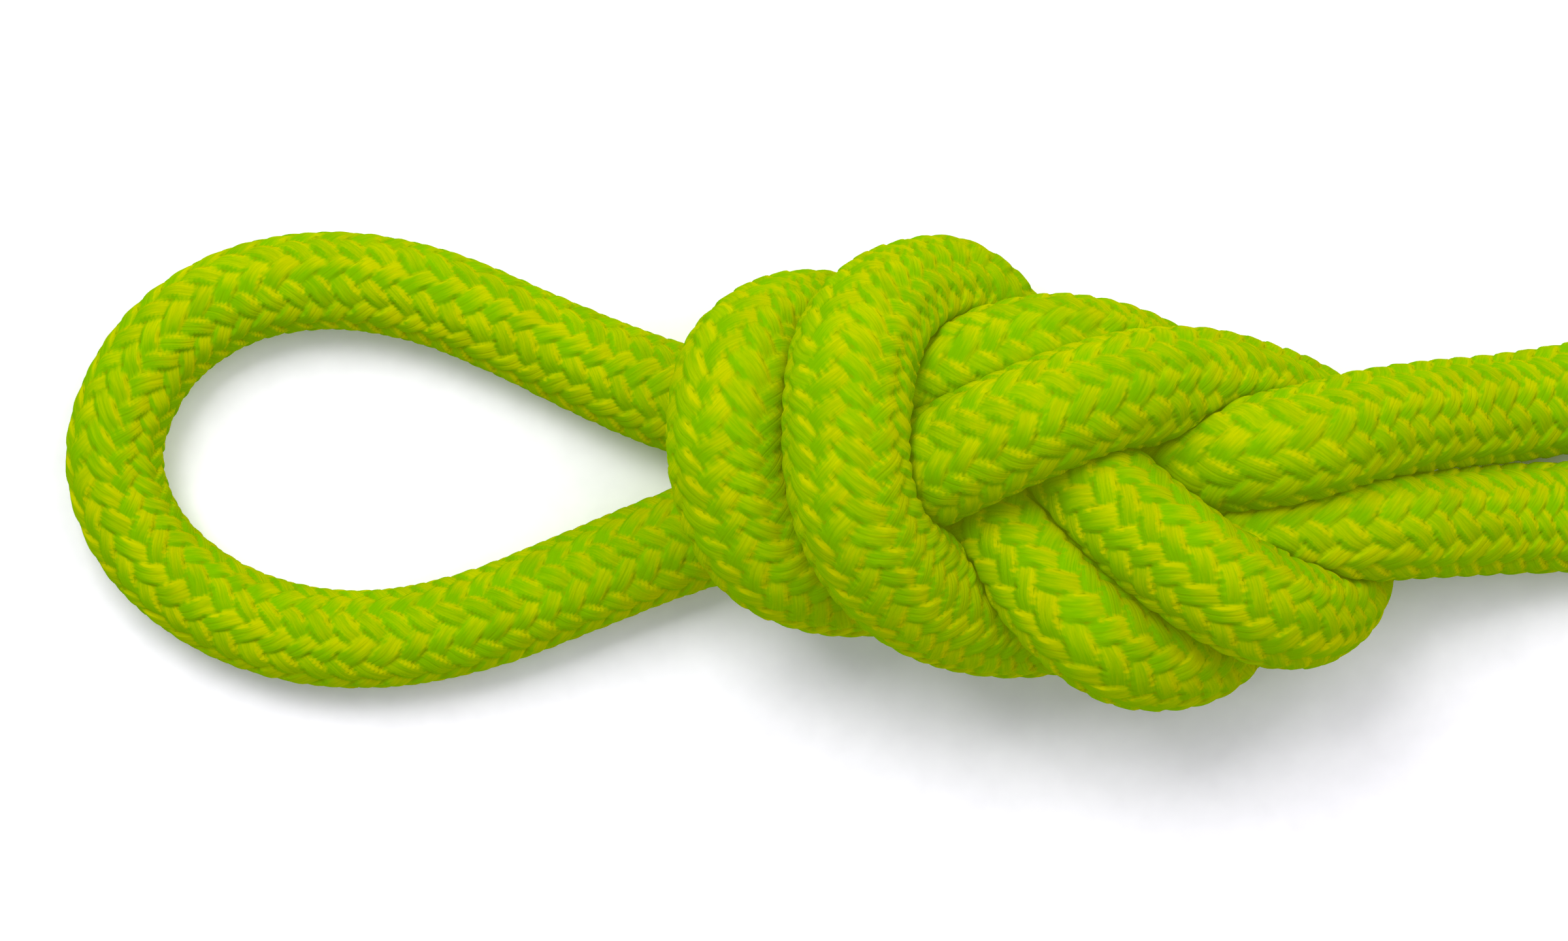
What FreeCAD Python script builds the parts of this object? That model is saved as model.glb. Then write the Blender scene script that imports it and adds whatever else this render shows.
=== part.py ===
"""A short dynamic climbing rope with a figure-eight on a bight tied in it, its spare length folded in a hank.

Millimetres. Z is up from the surface that the rope lies on, and X runs from the bight's loop to the hank.
"""

import FreeCAD, Part
import Sketcher
import math
import os

Vector = FreeCAD.Vector
UP = Vector(0, 0, 1)

# Driving dimensions: name and millimetres, or a count
DIMENSIONS = [
    ("rope_diameter", 9.4),
    ("drawn_diameter", 9.4),  # the rope that the knot's points below were chosen for
    ("sheath_wall", 1.1),
    ("strand_play", 0.02),
    ("end_length", 24.0),  # the straight last stretch of either end
    ("sleeve_length", 18.0),
    ("sleeve_wall", 0.5),
    ("seal_length", 1.6),
    ("seal_slope", 0.8),
    ("hank_length", 170.0),
    ("fold_radius", 20.0),  # the hank's innermost fold
    ("turn_gap", 1.0),  # between one loop and the next in a layer
    ("layer_gap", 0.8),
    ("waist_draw", 6.0),
    ("climb_draw", 1.5),  # more than that where the rope climbs past a lower loop
    ("tie_width", 16.0),
    ("tie_wall", 1.2),
    ("tie_lap", 30.0),
    ("tie_play", 0.7),
]

# The hank's layers and the loops in each, and shares of a loop
LAYERS = 2
LOOPS_IN_LAYER = 1.5
RUN_SHARE = 0.27
FOLD_SHARE = (RUN_SHARE + 0.5) / 2  # where a fold is half round
CLIMB_SLOPE = 1.5  # of a climb's middle, against its mean

SECTION_SIDES = 6
ARC_SHARE = 0.45  # of the shorter run beside a corner, used by its arc
FLOOR_SHARE = 0.1  # of the diameter, cut off flat where the rope lies on the surface
NEAR_ALONG = 22.0  # two places nearer than this along the rope aren't compared

# Where the middle of the whole rope's outline lies in the drawing of the points below
MIDDLE_X = 102.34
MIDDLE_Y = -4.78

# Routes through the knot, hand-chosen: x, y and z of each corner of the rope's centreline
ON_FLOOR = 3.76
TAIL = [
    (83.0, -4.5, 5.2),
    (74.5, -4.5, 5.2),
    (65.5, -4.8, 10.3),
    (57.0, -5.3, 15.4),
]
# In from the tail, down under the two middle strands, up over the right collar, back under and round
TAIL_SIDE = [
    (47.8, -7.0, 15.6),
    (38.0, -10.2, 12.8),
    (30.5, -14.5, 9.5),
    (22.0, -18.0, 10.3),
    (14.5, -15.5, 16.5),
    (9.5, -10.5, 23.5),
    (5.9, -3.2, 27.8),
    (5.5, 6.0, 27.0),
    (6.9, 15.4, 22.8),
    (10.5, 20.5, 15.0),
    (17.0, 19.0, 8.0),
    (22.8, 12.0, 4.8),
    (26.3, 4.8, 10.5),
    (28.9, -0.2, 18.2),
    (34.5, -6.0, 23.0),
    (42.0, -12.5, 24.2),
    (49.3, -17.3, 19.6),
    (54.5, -15.5, 10.0),
    (56.5, -8.5, ON_FLOOR),
    (56.0, -0.5, ON_FLOOR),
    (53.5, 6.5, 7.0),
    (47.5, 11.0, 12.0),
    (39.5, 11.8, 18.0),
    (31.0, 8.5, 24.0),
    (22.0, 4.5, 25.5),
    (14.1, 0.1, 21.4),
    (8.8, -3.0, 13.8),
    (3.0, -4.0, 5.0),
    (-6.0, -6.0, ON_FLOOR),
    (-14.0, -8.7, ON_FLOOR),
]
LOOP = [
    (-22.0, -12.0, ON_FLOOR),
    (-32.0, -15.8, ON_FLOOR),
    (-43.5, -17.5, ON_FLOOR),
    (-55.0, -15.2, ON_FLOOR),
    (-64.5, -8.5, ON_FLOOR),
    (-68.5, 1.5, ON_FLOOR),
    (-64.5, 12.2, ON_FLOOR),
    (-56.0, 18.2, ON_FLOOR),
    (-45.5, 19.8, ON_FLOOR),
    (-35.0, 17.2, ON_FLOOR),
    (-25.0, 13.0, ON_FLOOR),
]
# Back from the loop beside the first pass all the way, over the left collar, to the standing part
STANDING_SIDE = [
    (-15.0, 9.2, ON_FLOOR),
    (-6.0, 6.3, 4.5),
    (2.0, 5.8, 9.4),
    (10.0, 7.8, 15.4),
    (18.5, 12.0, 17.5),
    (27.0, 15.7, 16.2),
    (35.5, 12.5, 8.5),
    (42.0, 6.5, ON_FLOOR),
    (45.5, -2.5, ON_FLOOR),
    (46.0, -11.5, ON_FLOOR),
    (43.5, -19.5, 9.5),
    (37.0, -21.5, 17.0),
    (30.0, -16.0, 21.0),
    (23.5, -9.0, 18.5),
    (19.2, -3.0, 11.3),
    (15.2, 3.8, 5.0),
    (10.3, 11.6, ON_FLOOR),
    (4.0, 17.5, 6.0),
    (-3.3, 16.5, 12.5),
    (-6.5, 9.0, 16.5),
    (-6.5, -0.5, 16.5),
    (-3.0, -9.5, 14.5),
    (4.5, -14.5, 10.5),
    (13.0, -13.0, 4.5),
    (22.0, -9.2, ON_FLOOR),
    (30.0, -4.5, ON_FLOOR),
    (36.8, -0.2, 10.0),
    (42.2, 1.6, 18.6),
    (50.0, 3.0, 20.5),
]
STANDING = [
    (58.0, 4.8, 16.0),
    (66.0, 5.8, 9.5),
    (74.0, 6.6, 4.8),
    (83.0, 8.0, ON_FLOOR),
    (91.6, 11.1, ON_FLOOR),
    (99.4, 15.8, ON_FLOOR),
    (106.8, 21.1, ON_FLOOR),
    (114.7, 25.5, ON_FLOOR),
    (123.3, 28.4, ON_FLOOR),
    (132.3, 29.6, ON_FLOOR),
    (141.3, 29.6, ON_FLOOR),
]

doc = FreeCAD.newDocument("climbing_rope")
sheet = doc.addObject("Spreadsheet::Sheet", "Dimensions")
for row, (alias, value) in enumerate(DIMENSIONS, start=1):
    sheet.set(f"A{row}", alias)
    sheet.set(f"B{row}", str(value))
    sheet.setAlias(f"B{row}", alias)
doc.recompute()

rope_radius = sheet.rope_diameter / 2
rest_height = rope_radius - FLOOR_SHARE * sheet.rope_diameter
knot_scale = sheet.rope_diameter / sheet.drawn_diameter
turn_step = sheet.rope_diameter + sheet.turn_gap
layer_step = sheet.rope_diameter + sheet.layer_gap
outer_fold = sheet.fold_radius + LOOPS_IN_LAYER * turn_step
tie_lift = rope_radius + sheet.tie_wall + sheet.tie_play - rest_height


def drawn(points):
    """The points of a route in the part's frame, for the rope's diameter."""
    places = []
    for x, y, z in points:
        places.append(Vector(x * knot_scale - MIDDLE_X, y * knot_scale - MIDDLE_Y, z * knot_scale))
    return places


def corner_arc(start, corner, end):
    """The arc from start to end that both lines through the corner touch, or a straight run."""
    middle = (start + end) / 2
    depth = (middle - corner).Length
    tangent = (start - corner).Length
    if depth < 1e-4 or tangent - depth < 1e-9:
        return Part.LineSegment(start, end), math.inf
    centre = corner + (middle - corner) * (tangent / depth) ** 2
    radius = (start - centre).Length
    top = centre + (corner - centre).normalize() * radius
    return Part.Arc(start, top, end), radius


def rounded(points):
    """Straight runs joined by tangent arcs, as edges, with the arcs' radii and turns in degrees."""
    edges = []
    radii = []
    turns = []
    last = points[0]
    for before, corner, after in zip(points, points[1:], points[2:]):
        into = corner - before
        out = after - corner
        cut = ARC_SHARE * min(into.Length, out.Length)
        start = corner - into.normalize() * cut
        end = corner + out.normalize() * cut
        arc, radius = corner_arc(start, corner, end)
        edges.append(Part.LineSegment(last, start).toShape())
        edges.append(arc.toShape())
        radii.append(radius)
        turns.append(math.degrees(into.getAngle(out)))
        last = end
    edges.append(Part.LineSegment(last, points[-1]).toShape())
    return edges, radii, turns


def biarc(start, leaving, end, arriving):
    """Two arcs that join smoothly and have the given directions at their ends."""
    span = end - start
    along = span.dot(leaving + arriving)
    bend = 2 * (1 - leaving.dot(arriving))
    if bend < 1e-9:
        reach = span.dot(span) / (2 * along)
    else:
        reach = (math.sqrt(along**2 + bend * span.dot(span)) - along) / bend
    first = start + leaving * reach
    second = end - arriving * reach
    joint = (first + second) / 2
    one, radius_one = corner_arc(start, first, joint)
    two, radius_two = corner_arc(joint, second, end)
    return [one.toShape(), two.toShape()], min(radius_one, radius_two)


def tube(edges):
    """The rope's faceted section swept along the edges, a flat side down at the start."""
    path = Part.Wire(edges)
    first = edges[0]
    origin = first.valueAt(first.FirstParameter)
    forward = first.tangentAt(first.FirstParameter)
    sideways = UP.cross(forward).normalize()
    upright = forward.cross(sideways)
    corners = []
    for k in range(SECTION_SIDES):
        angle = math.pi * (2 * k + 1) / SECTION_SIDES
        corners.append(origin + (sideways * math.sin(angle) + upright * math.cos(angle)) * rope_radius)
    profile = Part.makePolygon(corners + corners[:1])
    return path.makePipeShell([profile], True, False), path.Length


def add_solid(label, shape):
    """A document object that holds a computed shape."""
    feature = doc.addObject("Part::Feature", label)
    feature.Label = label
    feature.Shape = shape
    return feature


def add_rope(label, edges):
    """One stretch of rope, cut flat where it lies on the surface, with its volume compared."""
    shape, length = tube(edges)
    section = SECTION_SIDES / 2 * rope_radius**2 * math.sin(2 * math.pi / SECTION_SIDES)
    print(f"{label}: length {length:.1f} mm, volume over section times length {shape.Volume / section / length:.4f}")
    box = shape.BoundBox
    below = Part.makeBox(box.XLength, box.YLength, rope_radius, Vector(box.XMin, box.YMin, -rope_radius))
    shape = shape.cut(below)
    if len(shape.Solids) != 1:
        raise ValueError(f"{label} is {len(shape.Solids)} solids")
    return add_solid(label, shape.Solids[0])


def hank_inward(loops):
    """How many steps in from the outermost loop the rope lies, after so many loops."""
    layer, into = divmod(loops, LOOPS_IN_LAYER)
    climb = RUN_SHARE if layer else 0
    gone = max(0.0, into - climb) / (LOOPS_IN_LAYER - climb) * LOOPS_IN_LAYER
    return gone if layer % 2 == 0 else LOOPS_IN_LAYER - gone


def hank_stations(begin):
    """Place and direction of the rope at each run's ends, waist and fold, from the first run's begin."""
    reach = sheet.hank_length / 2 - rope_radius - outer_fold
    middle = begin.x + reach
    axis = begin.y - outer_fold
    stations = []
    halves = int(2 * LAYERS * LOOPS_IN_LAYER)
    for half in range(halves):
        side = 1 if half % 2 == 0 else -1
        start = half / 2
        climbs = half > 0 and start % LOOPS_IN_LAYER == 0
        layer = math.floor(start / LOOPS_IN_LAYER)
        low = rest_height + (layer - climbs) * layer_step
        high = rest_height + layer * layer_step
        if half == halves - 1:
            high += sheet.sleeve_wall
        waist_draw = sheet.waist_draw + climbs * sheet.climb_draw
        along = Vector(side, 0, 0)
        rising = Vector(side * reach * 2, 0, (high - low) * CLIMB_SLOPE).normalize()
        for share, along_run, height, drawn_in, heading in (
            (0, -reach, low, 0, along),
            (RUN_SHARE / 2, 0, (low + high) / 2 + tie_lift, waist_draw, rising),
            (RUN_SHARE, reach, high, 0, along),
        ):
            out = outer_fold - hank_inward(start + share) * turn_step - drawn_in
            stations.append((Vector(middle + side * along_run, axis + side * out, height), heading))
        if half < halves - 1:
            out = outer_fold - hank_inward(start + FOLD_SHARE) * turn_step
            stations.append((Vector(middle + side * (reach + out), axis, high), Vector(0, -side, 0)))
    return stations, Vector(middle, axis, 0)


def sampled(edges, spacing=1.0):
    """Points along the edges."""
    places = []
    for edge in edges:
        count = max(2, math.ceil(edge.Length / spacing))
        places.extend(edge.discretize(count)[:-1])
    return places


def least_gap(edges):
    """The least distance between two surfaces of the rope that aren't neighbours along it."""
    places = sampled(edges)
    reach = math.ceil(NEAR_ALONG)
    least = math.inf
    for index, place in enumerate(places):
        for other in places[index + reach :: 2]:
            least = min(least, place.distanceToPoint(other))
    return least - sheet.rope_diameter


def prism_body(label, at, length, outer, inner=None):
    """A six-sided bar, or a six-sided tube where it has an inner radius."""
    body = doc.addObject("PartDesign::Body", label)
    body.Label = label
    bar = body.newObject("PartDesign::AdditivePrism", label + "_bar")
    hollow = body.newObject("PartDesign::SubtractivePrism", label + "_hollow") if inner else None
    for prism, radius in ((bar, outer), (hollow, inner)):
        if prism:
            prism.Polygon = SECTION_SIDES
            prism.setExpression("Circumradius", radius)
            prism.setExpression("Height", length)
    body.Placement = at
    return body


def sketch_on(body, role, name):
    """A new sketch on one of a body's origin planes."""
    sketch = body.newObject("Sketcher::SketchObject", name)
    plane = next(feature for feature in body.Origin.OriginFeatures if feature.Role == role)
    sketch.AttachmentSupport = [(plane, "")]
    sketch.MapMode = "FlatFace"
    return sketch


def sleeve_body(label, at):
    """The round sleeve shrunk on near a rope's end, from a sketch of two circles."""
    body = doc.addObject("PartDesign::Body", label)
    body.Label = label
    sketch = sketch_on(body, "XY_Plane", label + "_rings")
    half = "Dimensions.rope_diameter / 2"
    for name, radius in (("inner", half), ("outer", half + " + Dimensions.sleeve_wall")):
        circle = sketch.addGeometry(Part.Circle(Vector(0, 0, 0), UP, rope_radius), False)
        sketch.addConstraint(Sketcher.Constraint("Coincident", circle, 3, -1, 1))
        index = sketch.addConstraint(Sketcher.Constraint("Radius", circle, rope_radius))
        sketch.renameConstraint(index, name)
        sketch.setExpression("Constraints." + name, radius)
    pad = body.newObject("PartDesign::Pad", label + "_length")
    pad.Profile = sketch
    pad.setExpression("Length", "Dimensions.sleeve_length")
    body.Placement = at
    return body


def seal_body(label, at):
    """The melted end of the rope: a button with a sloped rim."""
    body = prism_body(label, at, "Dimensions.seal_length", "Dimensions.rope_diameter / 2")
    doc.recompute()
    bar = body.Tip
    rim = []
    for number, edge in enumerate(bar.Shape.Edges, start=1):
        if min(vertex.Z for vertex in edge.Vertexes) > sheet.seal_length / 2:
            rim.append(f"Edge{number}")
    slope = body.newObject("PartDesign::Chamfer", label + "_slope")
    slope.Base = (bar, rim)
    slope.setExpression("Size", "Dimensions.seal_slope")
    return body


def add_end(prefix, start, turned):
    """A rope end along X, turned about Z by so many degrees: sheath, core strands, shrunk sleeve and seal."""
    flat = math.cos(math.pi / SECTION_SIDES)
    half = "Dimensions.rope_diameter / 2"
    bore = f"{half} - Dimensions.sheath_wall / {flat}"
    lengthwise = FreeCAD.Rotation(UP, turned) * FreeCAD.Rotation(Vector(0, 1, 0), 90)
    flat_down = lengthwise * FreeCAD.Rotation(UP, 180 / SECTION_SIDES)
    sheath_at = FreeCAD.Placement(start, flat_down)
    made = [prism_body(prefix + "_sheath", sheath_at, "Dimensions.end_length", half, bore)]
    ring = (rope_radius * flat - sheet.sheath_wall) * 2 / 3
    offsets = [Vector(0, 0, 0)]
    for k in range(SECTION_SIDES):
        angle = math.pi * (2 * k + 1) / SECTION_SIDES
        offsets.append(flat_down.multVec(Vector(math.cos(angle), math.sin(angle), 0)) * ring)
    for number, offset in enumerate(offsets, start=1):
        strand = doc.addObject("Part::Prism", f"{prefix}_core_strand_{number}")
        strand.Label = strand.Name
        strand.Polygon = SECTION_SIDES
        strand.setExpression("Circumradius", f"({bore}) / 3 - Dimensions.strand_play")
        strand.setExpression("Height", "Dimensions.end_length")
        strand.Placement = FreeCAD.Placement(start + offset, flat_down)
        made.append(strand)
    along = lengthwise.multVec(UP)
    far = start + along * sheet.end_length
    sleeve_at = FreeCAD.Placement(far - along * sheet.sleeve_length, lengthwise)
    made.append(sleeve_body(prefix + "_sleeve", sleeve_at))
    made.append(seal_body(prefix + "_seal", FreeCAD.Placement(far, flat_down)))
    return made


def rounded_rectangle(sketch, left, low, right, high, radius):
    """Four lines and four corner arcs."""
    quarter = math.pi / 2
    corners = [(right, high), (left, high), (left, low), (right, low)]
    inward = [(-1, -1), (1, -1), (1, 1), (-1, 1)]
    centres = [Vector(x + i * radius, y + j * radius, 0) for (x, y), (i, j) in zip(corners, inward)]
    for k, centre in enumerate(centres):
        circle = Part.Circle(centre, UP, radius)
        arc = Part.ArcOfCircle(circle, k * quarter, (k + 1) * quarter)
        following = centres[(k + 1) % len(centres)]
        outward = Vector(math.cos((k + 1) * quarter), math.sin((k + 1) * quarter), 0) * radius
        sketch.addGeometry(arc, False)
        sketch.addGeometry(Part.LineSegment(centre + outward, following + outward), False)


def add_tie(middle, stations):
    """The strap round the hank's waist, its end lapped over on top."""
    waist = [place for place, heading in stations if abs(place.x - middle.x) < 1e-6]
    wall = sheet.tie_wall
    inner = rope_radius + sheet.tie_play
    left = min(place.y for place in waist) - inner - wall
    right = max(place.y for place in waist) + inner + wall
    high = max(place.z for place in waist) + inner + wall
    body = doc.addObject("PartDesign::Body", "hank_tie")
    body.Label = "hank_tie"
    band = sketch_on(body, "YZ_Plane", "hank_tie_band")
    rounded_rectangle(band, left, 0, right, high, inner + wall)
    rounded_rectangle(band, left + wall, wall, right - wall, high - wall, inner)
    lap = sketch_on(body, "YZ_Plane", "hank_tie_lap")
    lap_left = (left + right - sheet.tie_lap) / 2
    lap_corners = [
        Vector(lap_left, high, 0),
        Vector(lap_left + sheet.tie_lap, high, 0),
        Vector(lap_left + sheet.tie_lap - wall, high + wall, 0),
        Vector(lap_left + wall, high + wall, 0),
    ]
    for start, end in zip(lap_corners, lap_corners[1:] + lap_corners[:1]):
        lap.addGeometry(Part.LineSegment(start, end), False)
    for sketch in (band, lap):
        pad = body.newObject("PartDesign::Pad", sketch.Name + "_pad")
        pad.Profile = sketch
        pad.Midplane = True
        pad.setExpression("Length", "Dimensions.tie_width")
    body.Placement.Base = Vector(middle.x, 0, 0)
    return body


route = drawn(TAIL + TAIL_SIDE + LOOP + STANDING_SIDE + STANDING)
rope_edges, radii, turns = rounded(route)
print("radii of the route, least first:", " ".join(f"{radius:.1f}" for radius in sorted(radii)))
print(f"sharpest turn {max(turns):.0f} degrees")

square = Vector(sheet.rope_diameter, 0, 0)
hank_start = route[-1]
stations, hank_middle = hank_stations(hank_start + square)
hank_end = stations[-1][0] - square
hank_edges = [Part.LineSegment(hank_start, stations[0][0]).toShape()]
hank_radii = []
for (start, leaving), (end, arriving) in zip(stations, stations[1:]):
    arcs, radius = biarc(start, leaving, end, arriving)
    hank_edges += arcs
    hank_radii.append(radius)
hank_edges.append(Part.LineSegment(stations[-1][0], hank_end).toShape())
print(f"tightest bend of the hank {min(hank_radii):.1f} mm")

tail_end = route[0]
end_line = Vector(sheet.end_length, 0, 0)
whole = [Part.LineSegment(tail_end + end_line, tail_end).toShape()] + rope_edges + hank_edges
whole.append(Part.LineSegment(hank_end, hank_end - end_line).toShape())
print(f"least gap of the hank to itself {least_gap(hank_edges):.2f} mm")
print(f"least gap of the whole rope to itself {least_gap(whole):.2f} mm")
print(f"rope length {sum(edge.Length for edge in whole):.0f} mm")

parts = [add_rope("rope", rope_edges), add_rope("hank", hank_edges)]
parts += add_end("tail_end", tail_end, 0)
parts += add_end("hank_end", hank_end, 180)
parts.append(add_tie(hank_middle, stations))

doc.recompute()
for item in doc.Objects:
    if "Invalid" in item.State or "Error" in item.State:
        raise ValueError(f"{item.Name} failed: {item.State}")
for item in parts:
    if item.Shape.isNull() or not item.Shape.isValid():
        raise ValueError(f"{item.Label} has no valid shape")

box = FreeCAD.BoundBox()
os.makedirs("parts", exist_ok=True)
for item in parts:
    item.Shape.exportStep(f"parts/{item.Label}.step")
    box.add(item.Shape.BoundBox)
print(f"x {box.XMin:.2f} to {box.XMax:.2f}, y {box.YMin:.2f} to {box.YMax:.2f}, z {box.ZMin:.2f} to {box.ZMax:.2f}")
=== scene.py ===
"""A dynamic climbing rope with a figure-eight on a bight tied in it, on a pale floor.

Metres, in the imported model's frame: X runs from the bight's loop to the hank and Z is up from the floor.
"""

import math

import bmesh
import bpy
import numpy as np
from bpy.props import FloatProperty, FloatVectorProperty, IntProperty, PointerProperty, StringProperty
from mathutils import Matrix, Vector, noise


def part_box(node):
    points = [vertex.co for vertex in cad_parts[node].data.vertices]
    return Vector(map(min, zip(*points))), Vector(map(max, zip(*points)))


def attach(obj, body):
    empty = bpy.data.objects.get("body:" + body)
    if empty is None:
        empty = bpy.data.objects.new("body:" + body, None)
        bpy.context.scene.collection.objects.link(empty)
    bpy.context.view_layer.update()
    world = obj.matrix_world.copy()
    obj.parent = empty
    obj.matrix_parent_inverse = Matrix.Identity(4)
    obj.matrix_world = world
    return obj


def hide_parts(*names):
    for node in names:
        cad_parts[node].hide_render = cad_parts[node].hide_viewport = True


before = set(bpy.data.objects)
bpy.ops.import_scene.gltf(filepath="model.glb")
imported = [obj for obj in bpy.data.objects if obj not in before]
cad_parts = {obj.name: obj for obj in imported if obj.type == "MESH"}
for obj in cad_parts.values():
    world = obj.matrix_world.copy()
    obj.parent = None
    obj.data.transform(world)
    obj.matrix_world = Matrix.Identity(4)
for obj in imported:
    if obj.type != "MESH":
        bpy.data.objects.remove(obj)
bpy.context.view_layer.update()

bl_info = {
    "name": "Climbing rope with a figure-eight on a bight",
    "version": (1, 0, 0),
    "blender": (4, 5, 0),
    "location": "3D Viewport > Sidebar > Rope",
    "description": "Builds a braided climbing rope, its knot, its hank and the studio it lies in",
    "category": "Object",
}

MM = 0.001
UP = Vector((0, 0, 1))

# The points that the rope's line is drawn from, in millimetres: x, y and z in a drawing whose
# origin lies this far from the frame's
DRAWING_ORIGIN = (-102.34, 4.78)
ON_FLOOR = 3.76
TAIL_END = [(107.0, -4.5, 5.2), (95.0, -4.5, 5.2)]
TAIL = [
    (83.0, -4.5, 5.2),
    (74.5, -4.8, 5.2),
    (65.5, -5.1, 10.3),
    (57.0, -5.5, 15.4),
]
# In from the tail, down under the two middle strands, up over the right collar, back under and round
TAIL_SIDE = [
    (47.8, -7.0, 15.6),
    (38.0, -10.2, 12.8),
    (30.5, -16.0, 9.5),
    (22.0, -17.0, 10.3),
    (14.5, -14.6, 16.5),
    (9.8, -10.3, 22.3),
    (6.4, -3.2, 26.0),
    (6.0, 6.0, 25.6),
    (6.9, 14.3, 22.0),
    (11.4, 19.0, 15.0),
    (18.0, 19.8, 8.5),
    (22.8, 12.0, 4.8),
    (26.3, 4.8, 10.5),
    (28.9, -0.2, 18.2),
    (34.5, -6.0, 23.0),
    (42.0, -12.5, 24.2),
    (49.1, -16.3, 19.6),
    (54.4, -14.8, 10.0),
    (56.5, -8.6, ON_FLOOR),
    (56.1, -0.6, ON_FLOOR),
    (53.7, 5.0, 7.3),
    (47.3, 8.2, 12.0),
    (39.5, 10.0, 18.0),
    (31.0, 8.5, 24.0),
    (22.0, 4.5, 25.5),
    (14.1, 0.1, 21.4),
    (8.8, -3.0, 13.8),
    (3.0, -4.0, 5.0),
    (-6.0, -6.4, ON_FLOOR),
    (-14.0, -9.6, ON_FLOOR),
]
LOOP = [
    (-22.0, -11.8, ON_FLOOR),
    (-32.0, -15.7, ON_FLOOR),
    (-43.5, -17.5, ON_FLOOR),
    (-55.0, -15.2, ON_FLOOR),
    (-64.5, -8.5, ON_FLOOR),
    (-68.4, 1.4, ON_FLOOR),
    (-64.2, 11.7, ON_FLOOR),
    (-55.8, 17.8, ON_FLOOR),
    (-45.4, 19.6, ON_FLOOR),
    (-34.8, 17.6, ON_FLOOR),
    (-25.0, 13.2, ON_FLOOR),
]
# Back from the loop beside the first pass all the way, over the left collar, to the standing part
STANDING_SIDE = [
    (-15.0, 9.8, ON_FLOOR),
    (-6.0, 6.7, 4.5),
    (2.0, 5.8, 9.4),
    (10.0, 7.8, 15.4),
    (18.5, 11.3, 17.5),
    (27.0, 13.9, 16.2),
    (35.3, 12.0, 8.5),
    (42.0, 6.5, ON_FLOOR),
    (45.5, -2.5, ON_FLOOR),
    (46.0, -11.5, ON_FLOOR),
    (43.4, -19.2, 9.5),
    (36.0, -21.2, 17.0),
    (29.2, -17.3, 21.0),
    (23.5, -9.0, 18.5),
    (19.2, -3.0, 11.3),
    (15.2, 3.8, 5.0),
    (10.3, 11.6, ON_FLOOR),
    (4.2, 16.5, 6.0),
    (-2.5, 14.3, 14.4),
    (-5.3, 8.8, 19.8),
    (-5.3, -0.5, 19.8),
    (-2.1, -8.9, 17.0),
    (4.6, -12.3, 11.8),
    (13.0, -12.0, 4.5),
    (22.0, -9.2, ON_FLOOR),
    (30.0, -4.5, ON_FLOOR),
    (36.8, -0.2, 10.0),
    (42.2, 1.6, 18.6),
    (50.0, 2.6, 20.5),
]
STANDING = [
    (58.0, 4.5, 16.0),
    (66.0, 5.6, 9.5),
    (74.0, 6.4, 4.8),
    (83.0, 8.0, ON_FLOOR),
    (91.6, 11.1, ON_FLOOR),
    (99.4, 15.8, ON_FLOOR),
    (106.8, 21.1, ON_FLOOR),
    (114.7, 25.5, ON_FLOOR),
    (123.3, 28.4, ON_FLOOR),
    (132.3, 29.6, ON_FLOOR),
    (141.3, 29.6, ON_FLOOR),
]

# The put-away hank, in millimetres of the same drawing
HANK_LEFT = 150.7  # x of the centre that its left folds turn about
HANK_RIGHT = 240.1
HANK_AXIS = -6.0  # y of its middle line
OUTER_FOLD = 35.6  # radius of the outermost fold
TURN_STEP = 10.4  # how much further in the next loop lies
LAYER_STEP = 10.2
LAYERS = 2  # one on top of the other
LOOPS_IN_LAYER = 1.5
RUN_SHARE = 0.27  # share of a loop that a straight run takes up
FOLD_POINTS = 4
WAIST_HALF = 12.0  # half the length of the drawn-in waist
WAIST_DRAW = 6.0  # how far the strap draws a run in
CLIMB_DRAW = 1.5  # and how much further it draws the run that climbs to the upper layer
TIE_LIFT = 2.84  # the strap runs under the waist and lifts it
SLEEVE_WALL = 0.5  # the last end lies this much higher, on its sleeve
HANK_END_REACH = (141.3, 129.0, 117.3)  # x of the last points, which carry the end out of the hank

LINE_ORDER = 3  # each bit of the NURBS line follows three points
LINE_STEPS = 48
KNOT_SNUG = 0.88  # the pulled knot is this much narrower than the one that the points were drawn for
POINTS_TO_KNOT = 2  # so many points of the knot's tail side still belong to the tail

# Each modelled length of the rope from its tail end on, with the CAD nodes that it stands for
STANDS_FOR = {
    "tail": ("rope", "tail_end_sheath"),
    "knot_tail_side": ("rope",),
    "loop": ("rope",),
    "knot_standing_side": ("rope",),
    "standing_part": ("rope",),
    "hank_lower_turns": ("hank",),
    "hank_upper_turns": ("hank", "hank_end_sheath"),
}
FINE_LENGTHS = 5  # so many of them come before the hank, and have the finer mesh

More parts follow.
